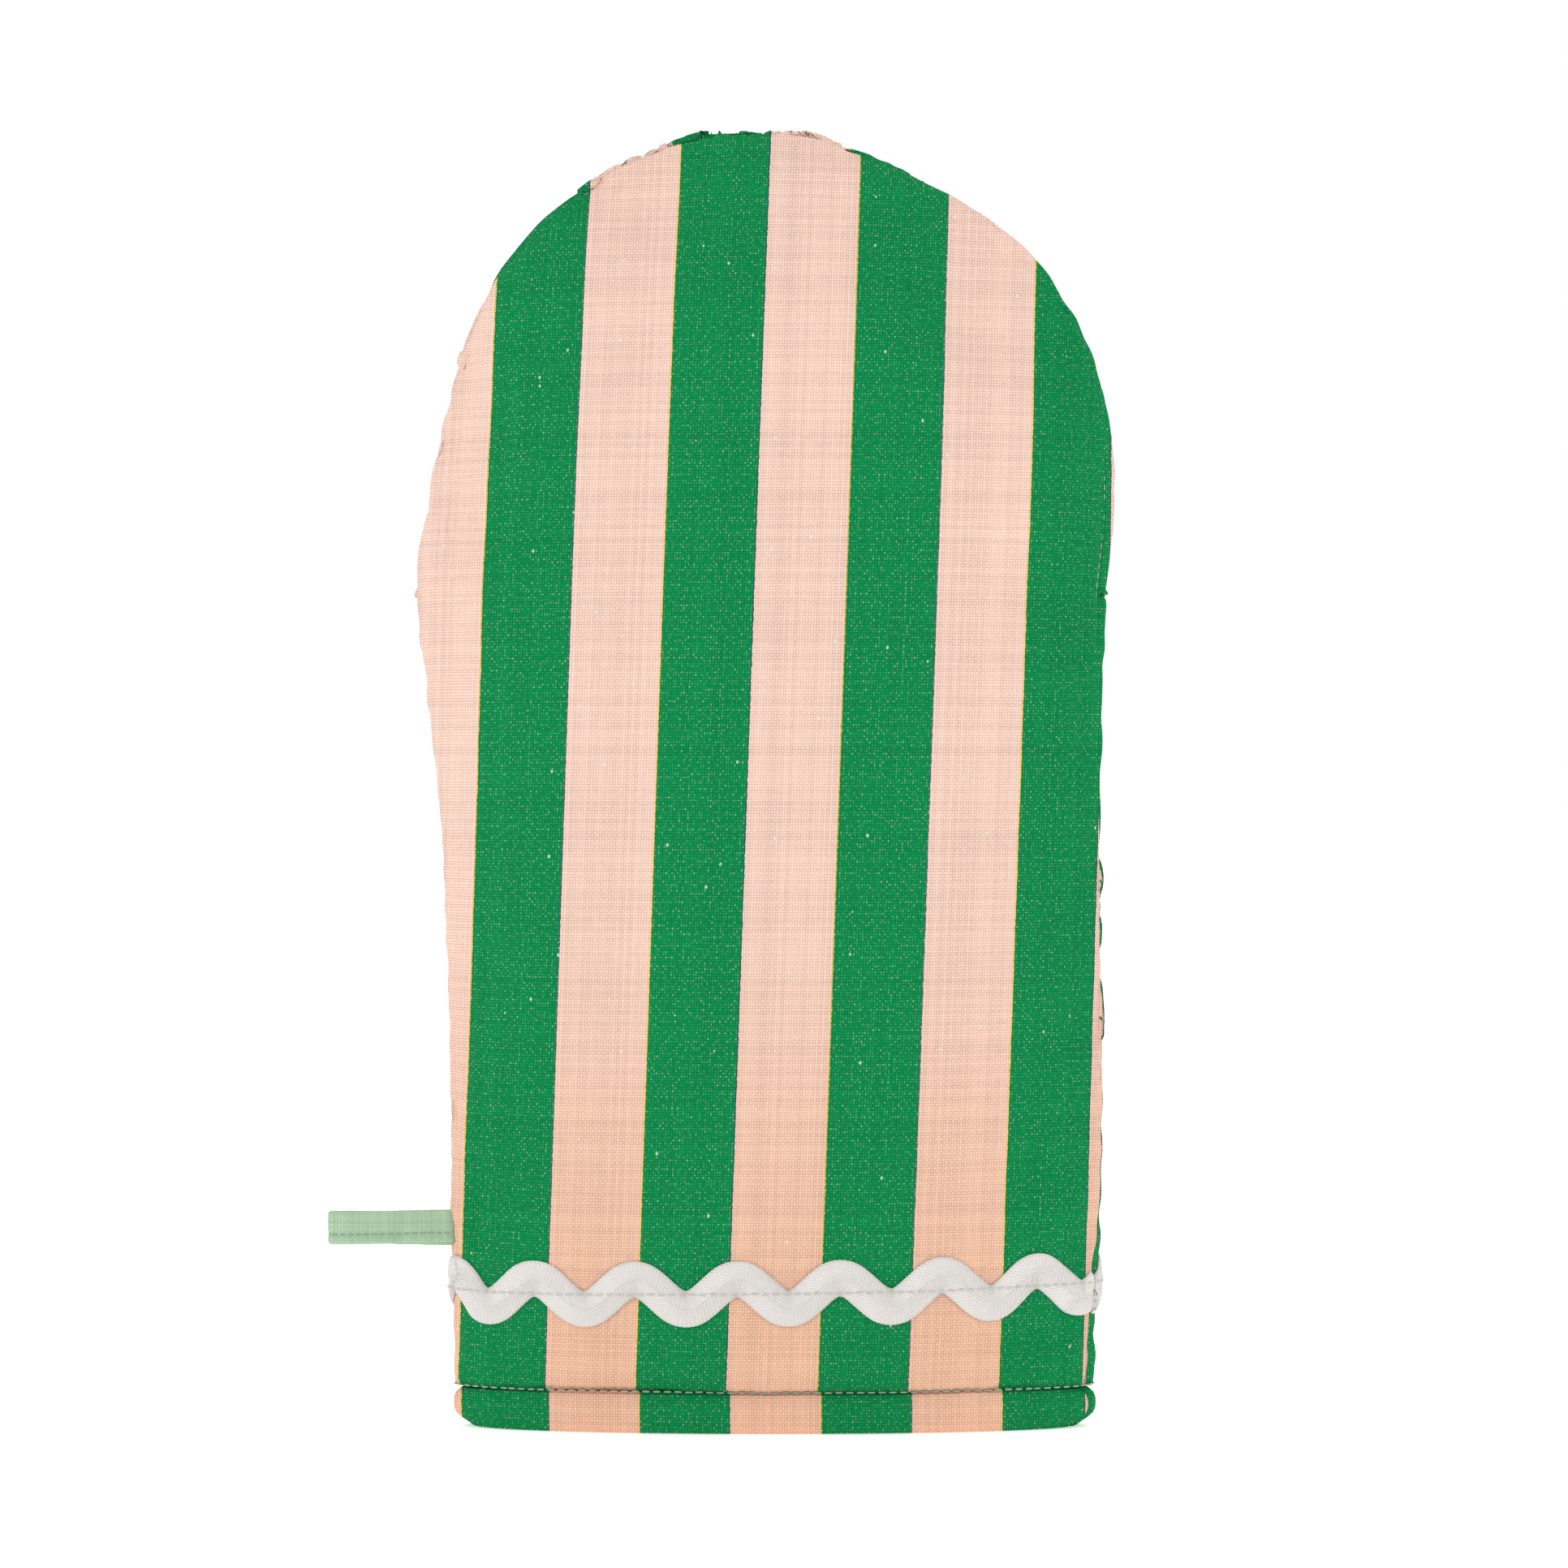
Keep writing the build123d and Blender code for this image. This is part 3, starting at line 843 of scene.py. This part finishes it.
def face_outwards(piece, weld=True):
    """Turn a closed piece's faces outwards, welding points that coincide."""
    bm = bmesh.new()
    bm.from_mesh(piece.data)
    if weld:
        bmesh.ops.remove_doubles(bm, verts=bm.verts, dist=1e-6)
    bmesh.ops.recalc_face_normals(bm, faces=bm.faces)
    bm.to_mesh(piece.data)
    bm.free()


def surface_of(*pieces):
    """The outer faces of some pieces, to lay trim on."""
    points, faces = [], []
    for piece in pieces:
        base = len(points)
        points += [v.co.copy() for v in piece.data.vertices]
        faces += [tuple(base + i for i in p.vertices) for p in piece.data.polygons]
    return BVHTree.FromPolygons(points, faces)


def laid_on(tree, point, direction, lift):
    """The nearest place on the cloth, raised off it along a direction away from the mitt."""
    start = Vector((point + direction * 12) * MM)
    hit, normal, _, _ = tree.ray_cast(start, Vector(-direction))
    if hit is None:
        hit = Vector(point * MM)
        normal = Vector(direction)
    return np.array(hit) / MM + np.array(normal) * lift


def away(points):
    """Directions straight out of a row that goes round the cuff."""
    run = np.gradient(points, axis=0)
    out = np.stack((run[:, 1], -run[:, 0], np.zeros(len(run))), 1)
    out /= np.linalg.norm(out, axis=1, keepdims=True)
    middle = len(out) // 2
    if out[middle, 1] * points[middle, 1] < 0:
        out = -out
    return out


BRAID_LEVEL = 36.2
BRAID_RISE = 0.011         # the braid is sewn on rising slightly to the right
BRAID_SWING = 3.7
BRAID_PITCH = 25.44
BRAID_CREST = {"back": -9.8, "palm": 4.0}
BRAID_HALF = 4.6
BRAID_LEANS = -0.55        # how much its edges lean with the slope of the wave
BRAID_NARROWS = 0.08       # and how much narrower it is there
BRAID_THICK = 0.95
BRAID_ROUNDED = 0.6
BRAID_GROOVE = 0.28        # pressed in along its middle by the stitching
BRAID_GROOVE_REACH = 0.7
BRAID_UNEVEN = 0.12
BRAID_CLEAR = 0.12
BRAID_COLUMNS = 420
BRAID_LANES = 12


def rickrack(side, tree, finish):
    """The wavy braid sewn round one side of the cuff."""
    points, run = around(BRAID_LEVEL, side, 0, BRAID_COLUMNS)
    outward = away(points)
    turn = 2 * pi / BRAID_PITCH
    swing = BRAID_SWING * np.cos(turn * (run - BRAID_CREST[side]))
    slope = -BRAID_SWING * turn * np.sin(turn * (run - BRAID_CREST[side]))
    tops, feet, chart = [], [], []
    for lane in range(BRAID_LANES + 1):
        over = -1 + 2 * lane / BRAID_LANES
        for k in range(BRAID_COLUMNS):
            steep = np.hypot(1, slope[k])
            side_step = BRAID_LEANS * over * BRAID_HALF * slope[k] / steep
            height = BRAID_LEVEL + BRAID_RISE * points[k, 0] + swing[k]
            height += over * BRAID_HALF * (1 - BRAID_NARROWS + BRAID_NARROWS / steep)
            step = points[min(k + 1, BRAID_COLUMNS - 1)] - points[max(k - 1, 0)]
            step = step / np.linalg.norm(step)
            near = points[k] + step * side_step
            near[2] = height
            off_middle = over * BRAID_HALF / BRAID_GROOVE_REACH
            thick = BRAID_THICK * (1 - BRAID_ROUNDED * abs(over) ** 6)
            thick -= BRAID_GROOVE * np.exp(-(off_middle**2))
            thick += BRAID_UNEVEN * field((run[k], over * 3, 0), 3.0, 2.0)
            tops.append(laid_on(tree, near, outward[k], 2 * BRAID_CLEAR + thick))
            feet.append(laid_on(tree, near, outward[k], BRAID_CLEAR))
            chart.append((run[k], over * BRAID_HALF, 0.0))
    count = len(tops)
    faces = []
    for lane in range(BRAID_LANES):
        for k in range(BRAID_COLUMNS - 1):
            a = lane * BRAID_COLUMNS + k
            b = a + BRAID_COLUMNS
            faces.append((a, a + 1, b + 1, b))
            faces.append((count + a, count + b, count + b + 1, count + a + 1))
    last = BRAID_LANES * BRAID_COLUMNS
    for k in range(BRAID_COLUMNS - 1):
        faces.append((k, count + k, count + k + 1, k + 1))
        faces.append((last + k, last + k + 1, count + last + k + 1, count + last + k))
    for lane in range(BRAID_LANES):
        for k in (0, BRAID_COLUMNS - 1):
            a = lane * BRAID_COLUMNS + k
            b = a + BRAID_COLUMNS
            faces.append((a, b, count + b, count + a))
    piece = new_object(f"rickrack_{side}_braid", plain_mesh("rickrack", tops + feet, faces))
    layer = piece.data.attributes.new("printed", "FLOAT_VECTOR", "POINT")
    layer.data.foreach_set("vector", np.array(chart + chart, np.float32).ravel())
    face_outwards(piece, weld=False)
    smooth_shade(piece)
    piece.data.materials.append(finish)
    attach(piece, "hand")
    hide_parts(f"rickrack_{side}")
    return piece


# ------------------------------------------------------------------ stitches, by geometry nodes
def stitch_tree(material):
    """A row of stitches laid along a line."""
    tree = bpy.data.node_groups.new("stitch_row", "GeometryNodeTree")
    face = tree.interface
    face.new_socket("Line", in_out="INPUT", socket_type="NodeSocketGeometry")
    for label, value in (("Pitch", 0.003), ("Stitch", 0.0022), ("Thread", 0.0003)):
        socket = face.new_socket(label, in_out="INPUT", socket_type="NodeSocketFloat")
        socket.default_value = value
    face.new_socket("Stitches", in_out="OUTPUT", socket_type="NodeSocketGeometry")
    make, link = tree.nodes.new, tree.links.new
    inputs, outputs = make("NodeGroupInput"), make("NodeGroupOutput")
    curve = make("GeometryNodeMeshToCurve")
    spaced = make("GeometryNodeResampleCurve")
    spaced.mode = "LENGTH"
    bead = make("GeometryNodeMeshUVSphere")
    bead.inputs["Segments"].default_value = 8
    bead.inputs["Rings"].default_value = 6
    place = make("GeometryNodeInstanceOnPoints")
    tangent = make("GeometryNodeInputTangent")
    aim = make("FunctionNodeAlignEulerToVector")
    aim.axis = "Z"
    size = make("ShaderNodeCombineXYZ")
    half = make("ShaderNodeMath")
    half.operation = "MULTIPLY"
    half.inputs[1].default_value = 0.5
    real = make("GeometryNodeRealizeInstances")
    paint = make("GeometryNodeSetMaterial")
    paint.inputs["Material"].default_value = material
    link(inputs.outputs["Line"], curve.inputs["Mesh"])
    link(curve.outputs[0], spaced.inputs["Curve"])
    link(inputs.outputs["Pitch"], spaced.inputs["Length"])
    link(spaced.outputs[0], place.inputs["Points"])
    link(bead.outputs["Mesh"], place.inputs["Instance"])
    link(tangent.outputs[0], aim.inputs["Vector"])
    link(aim.outputs[0], place.inputs["Rotation"])
    link(inputs.outputs["Stitch"], half.inputs[0])
    link(inputs.outputs["Thread"], size.inputs[0])
    link(inputs.outputs["Thread"], size.inputs[1])
    link(half.outputs[0], size.inputs[2])
    link(size.outputs[0], place.inputs["Scale"])
    link(place.outputs[0], real.inputs[0])
    link(real.outputs[0], paint.inputs["Geometry"])
    link(paint.outputs[0], outputs.inputs[0])
    return tree


def stitches(name, line, tree, material, pitch, stitch, thread):
    """Turn a line of points, in millimetres, into a piece of separate stitches."""
    mesh = bpy.data.meshes.new(name)
    points = [tuple(p) for p in np.asarray(line) * MM]
    mesh.from_pydata(points, [(k, k + 1) for k in range(len(points) - 1)], [])
    piece = new_object(name, mesh)
    modifier = piece.modifiers.new("stitches", "NODES")
    modifier.node_group = tree
    sizes = {"Pitch": pitch * MM, "Stitch": stitch * MM, "Thread": thread * MM}
    for item in tree.interface.items_tree:
        if item.in_out == "INPUT" and item.name in sizes:
            modifier[item.identifier] = sizes[item.name]
    finished(piece)
    piece.data.materials.clear()
    piece.data.materials.append(material)
    smooth_shade(piece)
    return piece


# Distance from stitch to stitch, length of a stitch and thickness of its thread.
BRAID_STITCH = (2.6, 2.2, 0.24)
HEM_STITCH = (2.7, 2.1, 0.26)
TAPE_STITCH = (2.0, 1.6, 0.2)
SEAM_STITCH = (2.5, 1.9, 0.22)
MIDDLE = np.array((-4.0, 0.0, 150.0))


def line_on_cloth(tree, height, side, lift, rise=0.0, count=400):
    """A level line laid on the cloth round one side of the cuff."""
    points, _ = around(height, side, 0, count)
    outward = away(points)
    points[:, 2] = height + rise * points[:, 0]
    return [laid_on(tree, point, way, lift) for point, way in zip(points, outward)]


# ------------------------------------------------------------------ hanging loop
def hanging_loop(finish):
    """Tape folded in half, sewn edge to edge, its two runs spread a little."""
    low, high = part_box("hanging_loop")
    end, root = low[0] / MM, high[0] / MM + LOOP_SEWN_IN
    bottom, top = low[2] / MM, high[2] / MM
    path = []
    half_turn = LOOP_STEPS // 2
    half_tape = LOOP_TAPE / 2
    for k in range(LOOP_STEPS + 1):
        t = abs(k - half_turn) / half_turn
        sign = -1 if k < half_turn else 1
        reach = (1 - t) ** 2.0
        x = end + half_tape + (root - end - 1.5 * half_tape) * t**1.25
        closing = 1 - LOOP_CLOSES * fading(t, 0.25, 1.0)
        y = sign * LOOP_SPREAD * (1 - reach**1.6) ** 0.5 * closing
        drop = -LOOP_SKEW * (k / LOOP_STEPS)
        path.append((x, y, drop))
    path = np.array(path)
    run = np.gradient(path, axis=0)
    out = np.stack((run[:, 1], -run[:, 0]), 1)
    out /= np.linalg.norm(out, axis=1, keepdims=True)
    lanes = 14
    section = []
    for k in range(lanes + 1):
        section.append((half_tape, k / lanes))
    for k in range(lanes, -1, -1):
        section.append((-half_tape, k / lanes))
    points = []
    count = len(section)
    for (x, y, drop), (nx, ny) in zip(path, out):
        for side, up in section:
            trim = 0.35 if up in (0.0, 1.0) else 1.0
            swell = 1.0 - 0.35 * np.exp(-(((up - LOOP_STITCH_UP) / 0.06) ** 2))
            offset = side * trim * swell
            z = bottom + LOOP_SKEW + up * (top - bottom - LOOP_SKEW) + drop
            z += 0.12 * field((x, y, 0), 4.0)
            points.append((x + nx * offset, y + ny * offset, z))
    faces = []
    for r in range(len(path) - 1):
        for c in range(count):
            d = (c + 1) % count
            faces.append((r * count + c, r * count + d, (r + 1) * count + d, (r + 1) * count + c))
    faces.append(tuple(range(count)))
    faces.append(tuple((len(path) - 1) * count + c for c in reversed(range(count))))
    piece = new_object("loop_tape", plain_mesh("loop_tape", points, faces))
    face_outwards(piece)
    smooth_shade(piece)
    piece.data.materials.append(finish)
    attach(piece, "loop")
    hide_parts("hanging_loop")
    seams = []
    for side in (-1, 1):
        line = []
        for (x, y, drop), (nx, ny) in zip(path, out):
            z = bottom + LOOP_SKEW + LOOP_STITCH_UP * (top - bottom - LOOP_SKEW) + drop
            line.append((x + nx * side * 0.5, y + ny * side * 0.5, z))
        seams.append(line)
    return seams


def tape_end(finish):
    """The two ends of the tape, flat between the panels behind the side seam."""
    low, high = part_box("loop_tail")
    (left, _, bottom), (right, _, top) = low, high
    left += TAPE_END_HIDDEN * MM
    corners = [(x, y, z) for z in (bottom, top) for y in (-1, 1) for x in (left, right)]
    points = [(x / MM, y * TAPE_END_HALF, z / MM) for x, y, z in corners]
    faces = [(0, 1, 3, 2), (4, 6, 7, 5), (0, 4, 5, 1), (2, 3, 7, 6), (0, 2, 6, 4), (1, 5, 7, 3)]
    piece = new_object("tape_end", plain_mesh("tape_end", points, faces))
    face_outwards(piece)
    piece.data.materials.append(finish)
    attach(piece, "hand")
    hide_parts("loop_tail")


LOOP_SEWN_IN = 2.6
TAPE_END_HIDDEN = 1.5
TAPE_END_HALF = 0.35
LOOP_SPREAD = 3.4
LOOP_CLOSES = 0.72         # how far the two runs come together towards the seam
LOOP_SKEW = 0.9
LOOP_STEPS = 60
LOOP_TAPE = 1.2
LOOP_STITCH_UP = 0.3


# ------------------------------------------------------------------ setting
def studio():
    """A pale floor in a pale room, soft lights and the camera."""
    corners = [(-FLOOR, -FLOOR, 0), (FLOOR, -FLOOR, 0), (FLOOR, FLOOR, 0), (-FLOOR, FLOOR, 0)]
    floor = new_object("floor", plain_mesh("floor", corners, [(0, 1, 2, 3)]))
    finish = Finish("paper", roughness=0.95, sheen=0.0)
    finish.shader.inputs["Specular IOR Level"].default_value = 0.0
    fibre = finish.noise(finish.place(), 0.02)
    finish.colour(finish.mix(fibre, (0.90, 0.90, 0.90, 1), (0.93, 0.93, 0.93, 1)))
    finish.shader.inputs["Emission Color"].default_value = (1, 1, 1, 1)
    finish.shader.inputs["Emission Strength"].default_value = PAPER_GLOW
    floor.data.materials.append(finish.material)

    bpy.context.scene.view_settings.view_transform = "Standard"
    world = bpy.data.worlds.new("studio")
    world.use_nodes = True
    world.node_tree.nodes["Background"].inputs["Color"].default_value = (1, 1, 1, 1)
    world.node_tree.nodes["Background"].inputs["Strength"].default_value = ROOM_LIGHT
    bpy.context.scene.world = world

    for name, place, size, power in LAMPS:
        data = bpy.data.lights.new(name, "AREA")
        data.size = size
        data.energy = power
        lamp = bpy.data.objects.new(name, data)
        lamp.location = place
        aim = Vector((0, 0, 0.16)) - Vector(place)
        lamp.rotation_euler = aim.to_track_quat("-Z", "Y").to_euler()
        bpy.context.scene.collection.objects.link(lamp)

    lens = bpy.data.cameras.new("camera")
    lens.lens = LENS
    lens.sensor_width = SENSOR
    camera = bpy.data.objects.new("camera", lens)
    camera.location = (VIEW_X * MM, -VIEW_WIDTH * MM * LENS / SENSOR, VIEW_Z * MM)
    camera.rotation_euler = (pi / 2, 0, 0)
    bpy.context.scene.collection.objects.link(camera)
    bpy.context.scene.camera = camera


FLOOR = 30000.0
PAPER_GLOW = 0.4
ROOM_LIGHT = 1.0
LAMPS = [
    ("key", (-0.9, -1.3, 1.3), 0.9, 4.5),
    ("fill", (1.1, -1.2, 0.7), 1.4, 1.0),
    ("rear", (0.5, 1.1, 1.3), 1.0, 6.0),
]
LENS = 110.0
SENSOR = 36.0
VIEW_WIDTH = 400.9
VIEW_X = 1.8
VIEW_Z = 163.9

# ------------------------------------------------------------------ making
studio()
canvas = striped_canvas()
lining_cloth = plain_weave("lining", linear(236, 229, 212), LINING_PITCH)
tape_cloth = plain_weave("sage_tape", linear(168, 198, 166), TAPE_PITCH, weave_shade=0.4)
braid = braid_finish()
fluff = wadding_finish()
sage_thread = thread_finish("thread", linear(150, 172, 150))
white_thread = thread_finish("white_thread", linear(206, 202, 196))

swell = puffed(0.0)
covers, gaps = panel_layer("cover", 0.0, COVER, swell, None, canvas)
waddings, _ = panel_layer("wadding", WADDING_IN, WADDING, swell, gaps, fluff, steps=0)
linings, _ = panel_layer("lining", LINING_IN, LINING, swell, gaps, lining_cloth, steps=0)

CAD_NAMES = {
    "back": ["back_{}_hand", "back_{}_knuckle", "back_{}_fingers"],
    "palm": ["palm_{}_hand", "palm_{}_thumb_root", "palm_{}_thumb"],
    "fingers": ["mouth_{}_hand", "mouth_{}_knuckle", "mouth_{}_fingers"],
    "thumb": ["mouth_{}_fold", "mouth_{}_thumb_root", "mouth_{}_thumb"],
}
# The CAD panels of each layer are hidden where the dressed panels take their place.
for layer, pieces in (("cover", covers), ("wadding", waddings), ("lining", linings)):
    for panel, piece in pieces.items():
        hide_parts(*[name.format(layer) for name in CAD_NAMES[panel]])

rows = stitch_tree(sage_thread)
white_rows = stitch_tree(white_thread)
for side in ("back", "palm"):
    tree = surface_of(covers[side])
    hem = cuff_hem(side, canvas)
    cuff_tree = surface_of(covers[side], hem)
    rickrack_piece = rickrack(side, tree, braid)
    braid_tree = surface_of(rickrack_piece)
    line = line_on_cloth(braid_tree, BRAID_LEVEL, side, 0.1, BRAID_RISE)
    piece = stitches(f"braid_stitches_{side}", line, white_rows, white_thread, *BRAID_STITCH)
    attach(piece, "hand")
    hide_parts(f"rickrack_stitches_{side}")
    line = line_on_cloth(cuff_tree, HEM + 0.2, side, 0.2)
    piece = stitches(f"hem_stitch_{side}", line, rows, sage_thread, *HEM_STITCH)
    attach(piece, "hand")
    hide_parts(f"hem_stitches_{side}")

tape_seams = hanging_loop(tape_cloth)
for number, line in enumerate(tape_seams):
    piece = stitches(f"tape_stitches_{number}", line, rows, sage_thread, *TAPE_STITCH)
    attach(piece, "loop")
    if number == 0:
        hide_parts("loop_stitches")
tape_end(tape_cloth)

grids = panel_grids(0.0)
seam_line = np.concatenate((grids["back"][:, 0], grids["back"][::-1, -1]))
inward = (MIDDLE - seam_line) / np.linalg.norm(MIDDLE - seam_line, axis=1, keepdims=True)
sunk = seam_line + inward * SEAM_SUNK
piece = stitches("side_seam_stitches", sunk, rows, sage_thread, *SEAM_STITCH)
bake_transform(piece)
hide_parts("seam_thread_hand", "seam_thread_fingers")
